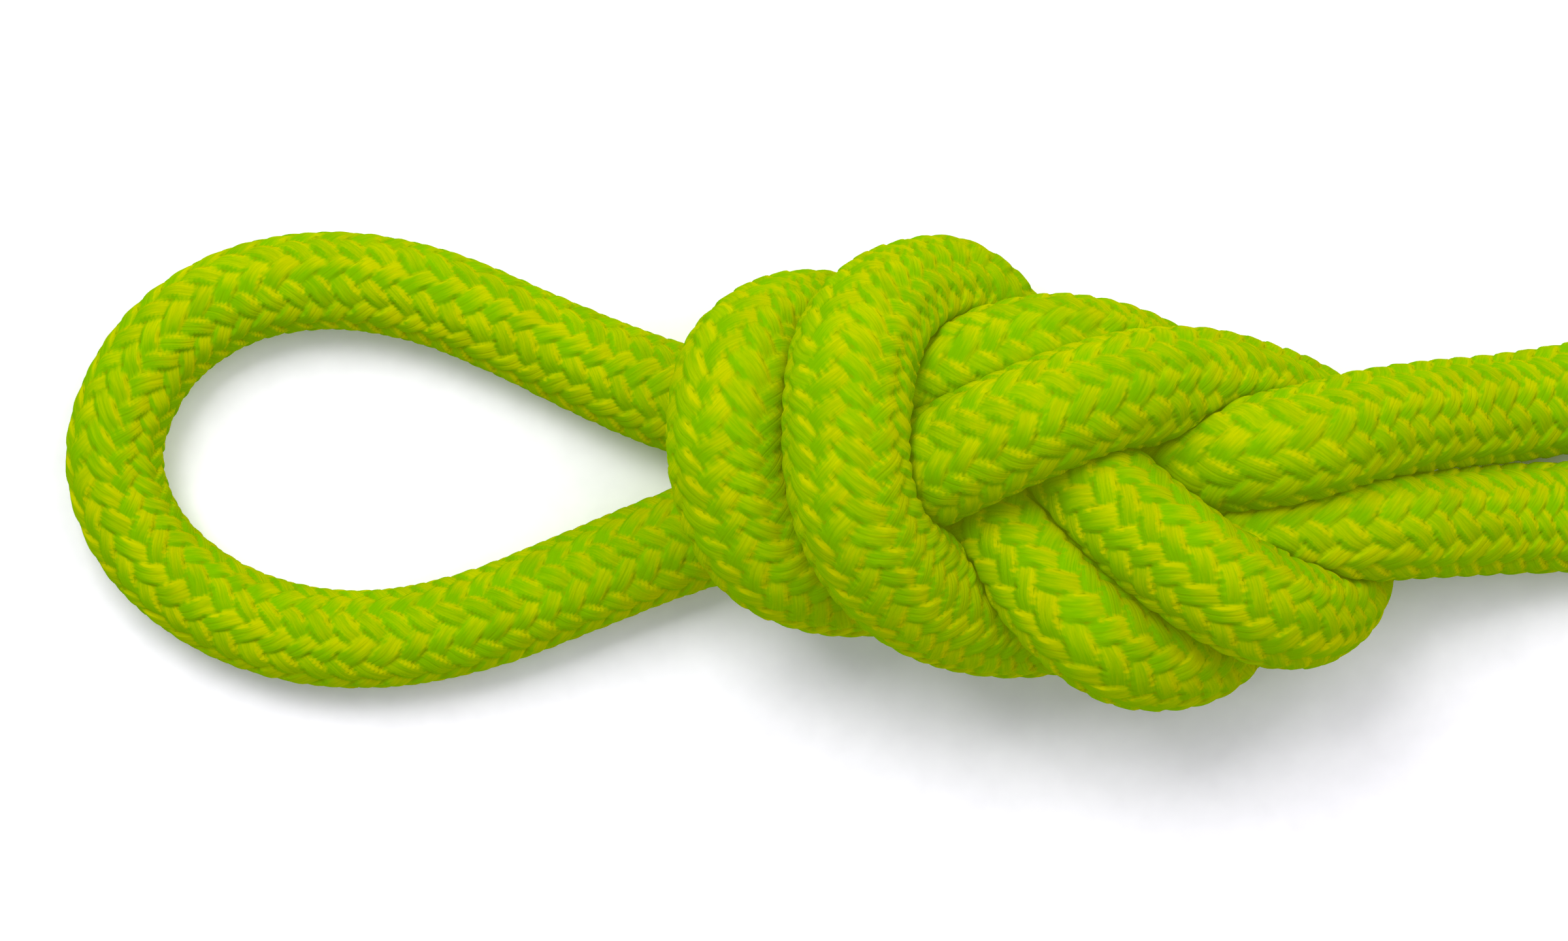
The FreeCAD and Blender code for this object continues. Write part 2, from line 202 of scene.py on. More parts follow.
# Where the rope's radius and its picks change: how many millimetres on from the start of a length, or
# from the rope's end, and the radius and the pick there
SLEEVED = 21  # so far from its ends the rope is held by a sleeve
WIDENED = 25  # and here it has its full width again
CHANGES = (
    ("tail", 0, "end_radius", "pick"),
    ("tail", SLEEVED, "end_radius", "pick"),
    ("tail", WIDENED, "standing_radius", "pick"),
    ("knot_tail_side", 0, "standing_radius", "pick"),
    ("knot_tail_side", 10, "knot_radius", "knot_pick"),
    ("knot_tail_side", 30, "collar_radius", "collar_pick"),
    ("knot_tail_side", 75, "collar_radius", "collar_pick"),
    ("knot_tail_side", 95, "knot_radius", "knot_pick"),
    ("loop", -25, "knot_radius", "knot_pick"),
    ("loop", 0, "leg_radius", "pick"),
    ("loop", 30, "loop_radius", "pick"),
    ("knot_standing_side", 0, "loop_radius", "pick"),
    ("knot_standing_side", 25, "knot_radius", "knot_pick"),
    ("standing_part", -110, "knot_radius", "knot_pick"),
    ("standing_part", -95, "collar_radius", "collar_pick"),
    ("standing_part", -65, "collar_radius", "collar_pick"),
    ("standing_part", -50, "knot_radius", "knot_pick"),
    ("standing_part", 0, "knot_radius", "knot_pick"),
    ("standing_part", 25, "standing_radius", "pick"),
    ("hank_lower_turns", -25, "standing_radius", "pick"),
    ("hank_lower_turns", 0, "hank_radius", "pick"),
    ("end", -WIDENED, "hank_radius", "pick"),
    ("end", -SLEEVED, "end_radius", "pick"),
    ("end", 0, "end_radius", "pick"),
)

# How the strands press on each other and on the floor
NEAR_ALONG = 18.0 * MM  # rope nearer than this along itself doesn't press on itself
PRESS_REACH = 2.2  # in radii: a strand further off than this doesn't press
PRESS_STEP = 2 * MM  # between the places that other strands are felt at
PRESS_PASSES = 3  # of smoothing, because yarn doesn't crease
ABOVE_FLOOR = 0.01 * MM
ALMOST_LEVEL = 1e-6  # a direction counts as falling at least this much toward the floor
ALMOST_SIDEWAYS = 1e-3  # and as facing a strand at least this much, so that nothing is divided by zero

# The braid's relief: the shares of a pick's arch, of its flat ribbon and of the ribbon's two yarns
ARCH_SHARE = 0.64
RIBBON_SHARE = 0.32
YARN_SHARE = 0.04
REPEAT = 4  # the picks after which the braid repeats
COMES_UP = (0.5, 2.5)  # where in them a bundle that leans right comes up, and one that leans left

# How a used braid wanders: how much of a column or a pick, how many waves round the rope, how far a wave
# turns in a pick, and where it starts
COLUMN_WAVES = ((0.07, 3, 0.83, 0.0), (0.05, 5, -1.7, 1.0))
PICK_WAVES = ((0.08, 2, -0.61, 0.5), (0.06, 4, 1.37, 0.0))

# Painted light and shade: a pick is painted yellow, a painted highlight, where it turns this way out of the
# rope's own surface, and green, painted shade, where it turns back. The smooth rope's own turn adds a share,
# and counts less where the rope nearly faces that way.
PAINTED_LIGHT_SIDE = (0.76, 0.65, 0.0)
OWN_TURN_SHARE = 0.12
LEAST_SIDEWAYS = 0.3

# The sleeves, the seals and the strap
TURNED_SIDES = 96
BEVEL_SEGMENTS = 3
SLEEVE_RINGS = 45
PLAIN_RIM = 1 * MM  # so near its rims a sleeve is too stiff for the braid to show through
DOME_RINGS = 14
DOME_FLATNESS = 0.4
LUMP_SIZE = 2.2 * MM
LUMP_SHIFT = 7.0  # so far to either side the noise is read, so that the two seals differ
CORE_STRANDS = 7
STITCH_AROUND = 12
STITCH_RINGS = 8
SHARP = 1.0  # radians between two faces
MERGED = 1e-6  # corners nearer than this are one
SAME_PLACE = 1e-7  # and corners that differ by less than this lie at one end, or on one radius

MATH = "ShaderNodeMath"
VECTORS = "ShaderNodeVectorMath"
NOISE_LOW = 0.3  # most of a noise lies between these two
NOISE_HIGH = 0.7
UNEVEN_GLOSS = 0.15


class RopeSettings(bpy.types.PropertyGroup):
    """Sizes and colours of the braided rope."""

    loop_radius: FloatProperty(
        name="Radius in the loop", description="Radius of the unloaded rope", default=5.02 * MM,
        unit="LENGTH")
    leg_radius: FloatProperty(
        name="Radius of the loop's legs", description="Where the loop enters the knot", default=5.35 * MM,
        unit="LENGTH")
    knot_radius: FloatProperty(
        name="Radius in the knot", description="Radius where the rope is bent and pressed", default=5.9 * MM,
        unit="LENGTH")
    collar_radius: FloatProperty(
        name="Radius of the collars", description="Radius of the two turns round the knot, pressed wide",
        default=6.45 * MM, unit="LENGTH")
    standing_radius: FloatProperty(
        name="Radius beside the knot", description="Radius of the two strands that leave the knot",
        default=5.65 * MM, unit="LENGTH")
    hank_radius: FloatProperty(
        name="Radius in the hank", description="Radius of the put-away rope", default=4.85 * MM,
        unit="LENGTH")
    end_radius: FloatProperty(
        name="Radius in the sleeves", description="Radius where a sleeve is shrunk on", default=4.66 * MM,
        unit="LENGTH")
    columns: IntProperty(
        name="Columns", description="Columns of picks round the rope", default=12)
    pick: FloatProperty(
        name="Pick", description="Length of one pick along the straight rope", default=2.75 * MM,
        unit="LENGTH")
    knot_pick: FloatProperty(
        name="Pick in the knot", description="Where the bent rope's braid is pushed together",
        default=2.45 * MM, unit="LENGTH")
    collar_pick: FloatProperty(
        name="Pick in the collars", description="Where the braid is pushed together most", default=2.12 * MM,
        unit="LENGTH")
    relief: FloatProperty(
        name="Relief", description="Depth of the crevices between the bundles", default=0.6 * MM,
        unit="LENGTH")
    fine_ring: FloatProperty(
        name="Ring spacing", description="Between rings of the mesh in the loop and knot", default=0.34 * MM,
        unit="LENGTH")
    coarse_ring: FloatProperty(
        name="Hank ring spacing", description="Between rings of the mesh in the hank", default=0.6 * MM,
        unit="LENGTH")
    fine_sides: IntProperty(
        name="Sides", description="Points in a ring", default=120)
    coarse_sides: IntProperty(
        name="Hank sides", description="Points in a hank ring", default=96)
    patch: FloatProperty(
        name="Patch", description="Size of the patches that the dye took unevenly", default=5.5 * MM,
        unit="LENGTH")
    # Painted light: how strongly a pick's turn to the painted-light side moves it toward painted highlight
    # and shade
    painted_light_gain: FloatProperty(
        name="Turn gain", description="How strongly a pick's turn to the light shifts its tone", default=1.5)
    # Painted light: the sheath emits light of its own, though it is no lamp; it stands in for the dye's
    # fluorescence and lifts the shade
    painted_glow_strength: FloatProperty(
        name="Glow strength", description="Of the fluorescent dye", default=0.09)
    # Green and yellow are painted shade and painted highlight, which the ramp lays where a pick turns from
    # and to the painted-light side; the yellow also tints the real sheen
    green: StringProperty(
        name="Green", description="Where a pick turns from the light, hex sRGB", default="#649F00")
    lime: StringProperty(
        name="Lime", description="Most of a pick, hex sRGB", default="#82A400")
    yellow: StringProperty(
        name="Yellow", description="Where a pick turns to the light, hex sRGB", default="#A5AD00")
    # Painted shade: the darker colour laid between the bundles, where shade falls
    crevice_painted_shade: StringProperty(
        name="Crevice", description="Between the bundles, hex sRGB", default="#708C00")
    # Painted light: colour of the light that the sheath emits of its own
    painted_glow: StringProperty(
        name="Glow", description="Of the fluorescent dye, hex sRGB", default="#D8EC00")


class EndSettings(bpy.types.PropertyGroup):
    """Sizes and colours of the shrunk sleeves, the melted seals and the strap."""

    sleeve_inside: FloatProperty(
        name="Sleeve inside", description="Inner radius of a shrunk sleeve", default=4.7 * MM, unit="LENGTH")
    sleeve_wall: FloatProperty(
        name="Sleeve wall", description="Thickness of a shrunk sleeve", default=0.5 * MM, unit="LENGTH")
    show_through: FloatProperty(
        name="Show through", description="How far the braid shows through a sleeve", default=0.1 * MM,
        unit="LENGTH")
    rim: FloatProperty(
        name="Rim", description="Rounding of a sleeve's rims", default=0.2 * MM, unit="LENGTH")
    seal_radius: FloatProperty(
        name="Seal radius", description="Of the melted rope end", default=4.62 * MM, unit="LENGTH")
    drip: FloatProperty(
        name="Melt", description="Height of the lumps in a seal", default=0.16 * MM, unit="LENGTH")
    strap_wall: FloatProperty(
        name="Strap wall", description="Thickness of the strap", default=1.2 * MM, unit="LENGTH")
    strap_corner: FloatProperty(
        name="Strap corner", description="Radius of the strap's outside round the rope", default=6.6 * MM,
        unit="LENGTH")
    strap_edge: FloatProperty(
        name="Strap edge", description="Rounding of the strap's edges", default=0.35 * MM, unit="LENGTH")
    lap: FloatProperty(
        name="Lap", description="Length of the strap's lap", default=30 * MM, unit="LENGTH")
    stitch: FloatProperty(
        name="Stitch", description="Length of a stitch", default=2.2 * MM, unit="LENGTH")
    stitch_wide: FloatProperty(
        name="Stitch width", description="Thickness of the thread", default=0.5 * MM, unit="LENGTH")
    stitch_high: FloatProperty(
        name="Stitch height", description="How far a stitch is pulled in", default=0.4 * MM, unit="LENGTH")
    stitch_inset: FloatProperty(
        name="Stitch inset", description="From the strap's edge to its seam", default=2 * MM, unit="LENGTH")
    seam_margin: FloatProperty(
        name="Seam margin", description="From the lap's end to its seam's", default=3 * MM, unit="LENGTH")
    stitches: IntProperty(
        name="Stitches", description="In each seam", default=9)
    sleeve_colour: StringProperty(
        name="Sleeve", description="Hex sRGB", default="#18191B")
    sleeve_sheen: StringProperty(
        name="Sleeve sheen", description="Lighter tone of the sleeve, hex sRGB", default="#25262A")
    seal_colour: StringProperty(
        name="Seal", description="Hex sRGB", default="#6F8410")
    scorch: StringProperty(
        name="Scorch", description="Darkest of the seal, hex sRGB", default="#3B4208")
    core_colour: StringProperty(
        name="Core", description="Hex sRGB", default="#E8E6DE")
    core_pale: StringProperty(
        name="Core, pale", description="Lighter tone of the core, hex sRGB", default="#F7F6F1")
    strap_colour: StringProperty(
        name="Strap", description="Hex sRGB", default="#26282C")
    # A lighter tone, which the crowns of the weave get
    strap_crowns: StringProperty(
        name="Strap, worn", description="Crowns of the strap's weave, hex sRGB", default="#484B51")
    thread_colour: StringProperty(
        name="Thread", description="Hex sRGB", default="#B9BCC0")
    thread_pale: StringProperty(
        name="Thread, pale", description="Lighter tone of the thread, hex sRGB", default="#D8DADD")


class StageSettings(bpy.types.PropertyGroup):
    """The floor, the light and the camera."""

    floor_side: FloatProperty(
        name="Floor side", description="Side of the square floor", default=3.0, unit="LENGTH")
    floor_colour: StringProperty(
        name="Floor", description="Hex sRGB", default="#F4F4F4")
    floor_pale: StringProperty(
        name="Floor, pale", description="Lighter tone of the floor, hex sRGB", default="#FFFFFF")
    camera_height: FloatProperty(
        name="Camera height", description="Above the floor", default=0.7039, unit="LENGTH")
    lens: FloatProperty(
        name="Lens", description="Focal length in millimetres", default=159.6)
    nearest: FloatProperty(
        name="Nearest", description="Nearest that the camera sees", default=0.01, unit="LENGTH")
    key_power: FloatProperty(
        name="Key light", description="Watts", default=10.0)
    key_width: FloatProperty(
        name="Key light's width", description="Side of the square light", default=0.65, unit="LENGTH")
    key_place: FloatVectorProperty(
        name="Key light's place", description="Middle of the light", default=(-0.48, 0.56, 0.92),
        subtype="TRANSLATION", unit="LENGTH")
    side_power: FloatProperty(
        name="Side light", description="Watts", default=4.0)
    side_width: FloatProperty(
        name="Side light's width", description="Side of the square light", default=0.8, unit="LENGTH")
    side_place: FloatVectorProperty(
        name="Side light's place", description="Middle of the light", default=(0.42, 0.4, 0.85),
        subtype="TRANSLATION", unit="LENGTH")
    sky: FloatProperty(
        name="Sky", description="Strength of the light from all round", default=0.58)
    sky_colour: StringProperty(
        name="Sky colour", description="Hex sRGB", default="#F2ECFF")


def linear(colour):
    """A hex sRGB colour as linear red, green, blue and alpha."""
    channels = [int(colour[k : k + 2], 16) / 255 for k in (1, 3, 5)]
    return tuple(c / 12.92 if c <= 0.04045 else ((c + 0.055) / 1.055) ** 2.4 for c in channels) + (1.0,)


def add(tree, kind, inputs=None, **settings):
    """Adds a node with its settings, and values or links on its inputs.

    A node as the value stands for its first output in use.
    """
    made = tree.nodes.new(kind)
    for name, value in settings.items():
        setattr(made, name, value)
    for key, value in (inputs or {}).items():
        if isinstance(value, bpy.types.Node):
            value = next(output for output in value.outputs if output.enabled)
        if isinstance(value, bpy.types.NodeSocket):
            tree.links.new(value, made.inputs[key])
        else:
            made.inputs[key].default_value = value
    return made


def blank_material(name):
    """A new material and its tree, with nothing in it."""
    material = bpy.data.materials.new(name)
    material.use_nodes = True
    material.node_tree.nodes.clear()
    return material, material.node_tree


def braided_nylon(look):
    """The sheath: fluorescent nylon yarn, in two leaning sets of bundles braided two over and two under.

    To the eye it is silky and not shiny. Each pick is painted from yellow, a painted highlight, to green,
    painted shade, as it turns from a fixed painted-light side. Its filaments streak it, its crevices are
    darker with painted shade, and a little painted light of its own, though the rope is no lamp, lifts its
    shade.
    """
    material, tree = blank_material("braided_nylon")
    place = add(tree, "ShaderNodeUVMap", uv_map="braid")
    parts = add(tree, "ShaderNodeSeparateXYZ", {"Vector": place})
    column_and_pick = {0: parts.outputs["X"], 1: parts.outputs["Y"]}
    right = add(tree, MATH, column_and_pick, operation="SUBTRACT")
    left = add(tree, MATH, column_and_pick, operation="ADD")

    # The bundles of braid_height, those that lean right in X and those that lean left in Y. Across its width
    # a bundle falls away with the fourth power, by half a pick's height at its edges.
    edge_fall = -0.5 / 0.5 ** 4
    half_repeat = REPEAT / 2
    leans = add(tree, "ShaderNodeCombineXYZ", {"X": right, "Y": left})
    others = add(tree, "ShaderNodeCombineXYZ", {"X": left, "Y": right})
    raised = add(tree, VECTORS, {0: leans, 1: (0.5, 0.5, 0)}, operation="ADD")
    bundle = add(tree, VECTORS, {0: raised}, operation="FLOOR")
    across = add(tree, VECTORS, {0: leans, 1: bundle}, operation="SUBTRACT")
    count = add(tree, VECTORS, {0: others, 1: bundle}, operation="ADD")
    shifted = add(tree, VECTORS, {0: count, 1: (*COMES_UP, 0)}, operation="SUBTRACT")
    along = add(tree, VECTORS, {0: shifted, 1: [half_repeat] * 3, 2: [-half_repeat] * 3}, operation="WRAP")
    turn = add(tree, VECTORS, {0: along, "Scale": 2 * math.pi / REPEAT}, operation="SCALE")
    arch = add(tree, VECTORS, {0: turn}, operation="COSINE")
    squared = add(tree, VECTORS, {0: across, 1: across}, operation="MULTIPLY")
    fourth = add(tree, VECTORS, {0: squared, 1: squared}, operation="MULTIPLY")
    height = add(tree, VECTORS, {0: fourth, 1: (edge_fall, edge_fall, 0), 2: arch}, operation="MULTIPLY_ADD")
    heights = add(tree, "ShaderNodeSeparateXYZ", {"Vector": height})
    both_heights = {0: heights.outputs["X"], 1: heights.outputs["Y"]}
    right_on_top = add(tree, MATH, both_heights, operation="GREATER_THAN")
    crown = add(tree, MATH, both_heights, operation="MAXIMUM")

    # The place on whichever bundle is on top: across it, along it, and its number, which no two share
    acrosses = add(tree, "ShaderNodeSeparateXYZ", {"Vector": across})
    alongs = add(tree, "ShaderNodeSeparateXYZ", {"Vector": along})
    round_rope = (look.columns, look.columns, 1)
    past_right_ones = 40
    wrapped = add(tree, VECTORS, {0: bundle, 1: round_rope, 2: (0, 0, 0)}, operation="WRAP")
    numbers = add(tree, "ShaderNodeSeparateXYZ", {"Vector": wrapped})
    left_number = add(tree, MATH, {0: numbers.outputs["Y"], 1: past_right_ones}, operation="ADD")
    right_place = add(tree, "ShaderNodeCombineXYZ", {
        "X": acrosses.outputs["X"], "Y": alongs.outputs["X"], "Z": numbers.outputs["X"]})
    left_place = add(tree, "ShaderNodeCombineXYZ", {
        "X": acrosses.outputs["Y"], "Y": alongs.outputs["Y"], "Z": left_number})
    chosen = {"Factor": right_on_top, "A": left_place, "B": right_place}
    on_bundle = add(tree, "ShaderNodeMix", chosen, data_type="VECTOR")
    spot = add(tree, "ShaderNodeSeparateXYZ", {"Vector": on_bundle})

    # Filaments run along each bundle. Real ones are 0.03 mm apart, and these are drawn as coarse as they need
    # to be to show: eleven across a bundle, about 0.2 mm apart, as long as a pick and new in each bundle
    drawn_out = add(tree, VECTORS, {0: on_bundle, 1: (11.0, 1.1, 3.7)}, operation="MULTIPLY")
    filaments = add(tree, "ShaderNodeTexNoise", {"Vector": drawn_out, "Scale": 1.0, "Detail": 3.0})

    # A pick's painted highlight and painted shade follow its turn to the painted-light side, and its edge is
    # ragged from filaments and uneven dye
    ragged_by = 0.6
    patchy_by = 0.8
    green_at, lime_at, yellow_at = 0.12, 0.46, 0.88
    whole = add(tree, "ShaderNodeTexCoord")
    patches = add(
        tree, "ShaderNodeTexNoise",
        {"Vector": whole.outputs["Object"], "Scale": 1 / look.patch, "Detail": 2.0})
    tilt = add(tree, "ShaderNodeAttribute", attribute_name="tilt")
    ragged = add(tree, MATH, {0: filaments, 1: ragged_by, 2: -ragged_by / 2}, operation="MULTIPLY_ADD")
    patchy = add(tree, MATH, {0: patches, 1: patchy_by, 2: ragged}, operation="MULTIPLY_ADD")
    toward = add(
        tree, MATH, {0: tilt.outputs["Fac"], 1: look.painted_light_gain, 2: patchy}, operation="MULTIPLY_ADD")
    hue = add(tree, "ShaderNodeValToRGB", {"Fac": toward})
    stops = hue.color_ramp.elements
    stops.new(lime_at)
    for stop, at, dye in zip(stops, (green_at, lime_at, yellow_at), (look.green, look.lime, look.yellow)):
        stop.position = at
        stop.color = linear(dye)

    # No two bundles took the dye quite alike, and no two filaments catch the light alike
    darkest_bundle = 0.88
    darkest_streak, lightest_streak = 0.93, 1.05
    yarn = add(tree, "ShaderNodeTexWhiteNoise", {"W": spot.outputs["Z"]}, noise_dimensions="1D")
    tone = add(tree, MATH, {0: yarn, 1: 1 - darkest_bundle, 2: darkest_bundle}, operation="MULTIPLY_ADD")
    streak = add(tree, "ShaderNodeMapRange", {
        "Value": filaments, "From Min": NOISE_LOW, "From Max": NOISE_HIGH,
        "To Min": darkest_streak, "To Max": lightest_streak})
    shade = add(tree, MATH, {0: tone, 1: streak}, operation="MULTIPLY")
    toned = add(tree, VECTORS, {0: hue, "Scale": shade}, operation="SCALE")

    # Each bundle is two yarns side by side, with a fine groove between them, and lies beside deep crevices.
    # Both get
    # painted shade: the groove is darkened a little and the crevices' darker colour is mixed in where the
    # crown sinks.
    groove_foot, groove_top = 0.015, 0.075
    painted_shade_in_groove = 0.9
    crevice_foot, crevice_top = -0.4, 0.05
    groove_relief = 0.7
    aside = add(tree, MATH, {0: spot.outputs["X"]}, operation="ABSOLUTE")
    groove = add(tree, "ShaderNodeMapRange", {
        "Value": aside, "From Min": groove_foot, "From Max": groove_top})
    groove_painted_shade = add(tree, MATH, {0: groove, 1: 1 - painted_shade_in_groove, 2: painted_shade_in_groove}, operation="MULTIPLY_ADD")
    out_of_crevice_shade = add(tree, "ShaderNodeMapRange", {
        "Value": crown, "From Min": crevice_foot, "From Max": crevice_top})
    bright = add(tree, MATH, {0: groove_painted_shade, 1: out_of_crevice_shade}, operation="MULTIPLY")
    # Painted shade in the crevices and in the groove between the yarns
    colour = add(
        tree, "ShaderNodeMix", {"Factor": bright, "A": linear(look.crevice_painted_shade), "B": toned}, data_type="RGBA")
    fibres = add(tree, MATH, {0: groove, 1: groove_relief, 2: filaments}, operation="MULTIPLY_ADD")
    relief = add(tree, "ShaderNodeBump", {"Strength": 0.4, "Distance": 0.1 * MM, "Height": fibres})
    rough = add(tree, "ShaderNodeMapRange", {
        "Value": filaments, "From Min": NOISE_LOW, "From Max": NOISE_HIGH, "To Min": 0.5, "To Max": 0.38})
    shader = add(tree, "ShaderNodeBsdfPrincipled", {
        "Base Color": colour,
        "Normal": relief,
        "Roughness": rough,
        "IOR": 1.53,
        "Specular IOR Level": 0.0,
        # Painted light: the sheath emits a little light of its own, though it is no lamp, to lift its shade
        "Emission Color": linear(look.painted_glow),
        "Emission Strength": look.painted_glow_strength,
        "Sheen Weight": 0.12,
        "Sheen Roughness": 0.4,
        "Sheen Tint": linear(look.yellow),
    })
    add(tree, "ShaderNodeOutputMaterial", {"Surface": shader})
    return material


def noisy(name, first, second, grain, stretch, rough, depth, ior):
    """A material of two tones of one noise, which is its relief too.

    The grain and the relief's depth are in metres, and stretch draws the grain out.
    """
    material, tree = blank_material(name)
    place = add(tree, "ShaderNodeTexCoord")
    drawn_out = add(tree, VECTORS, {0: place.outputs["Object"], 1: stretch}, operation="MULTIPLY")
    mottle = add(tree, "ShaderNodeTexNoise", {"Vector": drawn_out, "Scale": 1 / grain, "Detail": 4.0})
    spread = add(tree, "ShaderNodeMapRange", {"Value": mottle, "From Min": NOISE_LOW, "From Max": NOISE_HIGH})
    tone = add(
        tree, "ShaderNodeMix", {"Factor": spread, "A": linear(first), "B": linear(second)}, data_type="RGBA")
    satin = add(tree, "ShaderNodeMapRange", {
        "Value": spread, "To Min": rough * (1 + UNEVEN_GLOSS), "To Max": rough * (1 - UNEVEN_GLOSS)})
    relief = add(tree, "ShaderNodeBump", {"Strength": 0.5, "Distance": depth, "Height": spread})
    shader = add(tree, "ShaderNodeBsdfPrincipled", {
        "Base Color": tone, "Normal": relief, "Roughness": satin, "IOR": ior})
    add(tree, "ShaderNodeOutputMaterial", {"Surface": shader})
    return material


def polyester_webbing(look):
    """The strap: polyester yarn in a close plain weave, matt, with knuckles half a millimetre long."""
    material, tree = blank_material("polyester_webbing")
    warp_wave = 1.0 * MM
    weft_wave = 1.1 * MM
    fuzz_grain = 0.4 * MM
    fuzz_share = 0.5
    place = add(tree, "ShaderNodeTexCoord")
    part = add(tree, "ShaderNodeSeparateXYZ", {"Vector": place.outputs["Object"]})
    along = add(tree, MATH, {0: part.outputs["Y"], 1: part.outputs["Z"]}, operation="ADD")
    warp_turn = add(tree, MATH, {0: part.outputs["X"], 1: 2 * math.pi / warp_wave}, operation="MULTIPLY")
    weft_turn = add(tree, MATH, {0: along, 1: 2 * math.pi / weft_wave}, operation="MULTIPLY")
    warp = add(tree, MATH, {0: warp_turn}, operation="SINE")
    weft = add(tree, MATH, {0: weft_turn}, operation="SINE")
    weave = add(tree, MATH, {0: warp, 1: weft}, operation="MULTIPLY")
    fuzz = add(tree, "ShaderNodeTexNoise", {
        "Vector": place.outputs["Object"], "Scale": 1 / fuzz_grain, "Detail": 2.0})
    height = add(tree, MATH, {0: fuzz, 1: fuzz_share, 2: weave}, operation="MULTIPLY_ADD")
    # The crowns of the weave are lighter
    on_crowns = add(tree, "ShaderNodeMapRange", {"Value": height, "From Min": -0.8, "From Max": 1.2})
    tones = {"Factor": on_crowns, "A": linear(look.strap_colour), "B": linear(look.strap_crowns)}
    tone = add(tree, "ShaderNodeMix", tones, data_type="RGBA")
    relief = add(tree, "ShaderNodeBump", {"Strength": 0.8, "Distance": 0.2 * MM, "Height": height})
    shader = add(tree, "ShaderNodeBsdfPrincipled", {
        "Base Color": tone, "Normal": relief, "Roughness": 0.7, "IOR": 1.57, "Sheen Weight": 0.2})
    add(tree, "ShaderNodeOutputMaterial", {"Surface": shader})
    return material


def hank_inward(loops):
    """How many steps in from the outermost loop the rope lies, after so many loops."""
    layer, into = divmod(loops, LOOPS_IN_LAYER)
    climb = RUN_SHARE if layer else 0
    gone = max(0.0, into - climb) / (LOOPS_IN_LAYER - climb) * LOOPS_IN_LAYER
    return gone if layer % 2 == 0 else LOOPS_IN_LAYER - gone


def hank_points():
    """The hank's points: four on each run, with its waist drawn in, and four round each fold."""
    points = []
    middle = (HANK_LEFT + HANK_RIGHT) / 2
    reach = (HANK_RIGHT - HANK_LEFT) / 2
    step = math.pi / FOLD_POINTS
    halves = int(2 * LAYERS * LOOPS_IN_LAYER)
    for half in range(halves):
        side = 1 if half % 2 == 0 else -1
        start = half / 2
        layer = math.floor(start / LOOPS_IN_LAYER)
        climbs = half > 0 and start % LOOPS_IN_LAYER == 0
        high = ON_FLOOR + layer * LAYER_STEP
        low = high - climbs * LAYER_STEP
        waist = (low + high) / 2 + TIE_LIFT
        drawn_in = WAIST_DRAW + climbs * CLIMB_DRAW
        out = [OUTER_FOLD - hank_inward(start + share) * TURN_STEP for share in (0, RUN_SHARE / 2, RUN_SHARE)]
        if half == halves - 1:
            high += SLEEVE_WALL
        near = reach - out[0] * math.tan(step / 2)
        far = reach - out[2] * math.tan(step / 2)
        points.append((middle - side * near, HANK_AXIS + side * out[0], low))
        points.append((middle - side * WAIST_HALF, HANK_AXIS + side * (out[1] - drawn_in), waist))
        points.append((middle + side * WAIST_HALF, HANK_AXIS + side * (out[1] - drawn_in), waist))
        points.append((middle + side * far, HANK_AXIS + side * out[2], high))
        if half < halves - 1:
            for k in range(FOLD_POINTS):
                angle = (k + 0.5) * step
                share = RUN_SHARE + (0.5 - RUN_SHARE) * angle / math.pi
                radius = (OUTER_FOLD - hank_inward(start + share) * TURN_STEP) / math.cos(step / 2)
                points.append((
                    middle + side * (reach + radius * math.sin(angle)),
                    HANK_AXIS + side * radius * math.cos(angle),
                    high,
                ))
    y, z = points[-1][1:]
    points.extend((x, y, z) for x in HANK_END_REACH)
    return points


def snug(points):
    """The knot's points drawn in toward its middle line, so that its strands press into each other."""
    return [(x, y * KNOT_SNUG, z) for x, y, z in points]


def placed(points):
    """Points of the drawing in the frame, in metres."""
    ox, oy = DRAWING_ORIGIN
    return [Vector(((x + ox) * MM, (y + oy) * MM, z * MM)) for x, y, z in points]


def rope_line(points):
    """The rope's NURBS line as a dense list of places, with the distance along it."""
    data = bpy.data.curves.new("rope_line", "CURVE")
    data.dimensions = "3D"
    data.resolution_u = LINE_STEPS
    spline = data.splines.new("NURBS")
    spline.points.add(len(points) - 1)
    for point, place in zip(spline.points, points):
        point.co = (*place, 1)
    spline.order_u = LINE_ORDER
    spline.use_endpoint_u = True
    line = bpy.data.objects.new("rope_line", data)
    mesh = bpy.data.meshes.new_from_object(line)
    places = np.array([vertex.co for vertex in mesh.vertices])
    bpy.data.objects.remove(line)
    bpy.data.meshes.remove(mesh)
    bpy.data.curves.remove(data)
    gone = np.concatenate([[0], np.cumsum(np.linalg.norm(np.diff(places, axis=0), axis=1))])
    return places, gone


def line_at(places, gone, distances):
    """The places at these distances along the rope's line."""
    return np.stack([np.interp(distances, gone, places[:, axis]) for axis in range(3)], axis=1)


def unit(vectors):
    """The same directions, a metre long."""
    return vectors / np.linalg.norm(vectors, axis=-1, keepdims=True)


def carried_frames(line):
    """For each ring a sideways and an upright direction, carried along the line without a twist."""
    heading = unit(np.gradient(line, axis=0))
    side = np.cross(UP, heading[0])
    sides = []
    for ahead in heading:
        side = side - ahead * np.dot(side, ahead)
        side = side / np.linalg.norm(side)
        sides.append(side)
    sides = np.array(sides)
    return sides, np.cross(heading, sides)


def softened(values, passes):
    """The values with their steps smoothed, along the rope and then round it."""
    for _ in range(passes):
        padded = np.concatenate([values[:1], values, values[-1:]])
        values = (padded[:-2] + 2 * padded[1:-1] + padded[2:]) / 4
    for _ in range(passes):
        values = (np.roll(values, 1, 1) + 2 * values + np.roll(values, -1, 1)) / 4
    return values


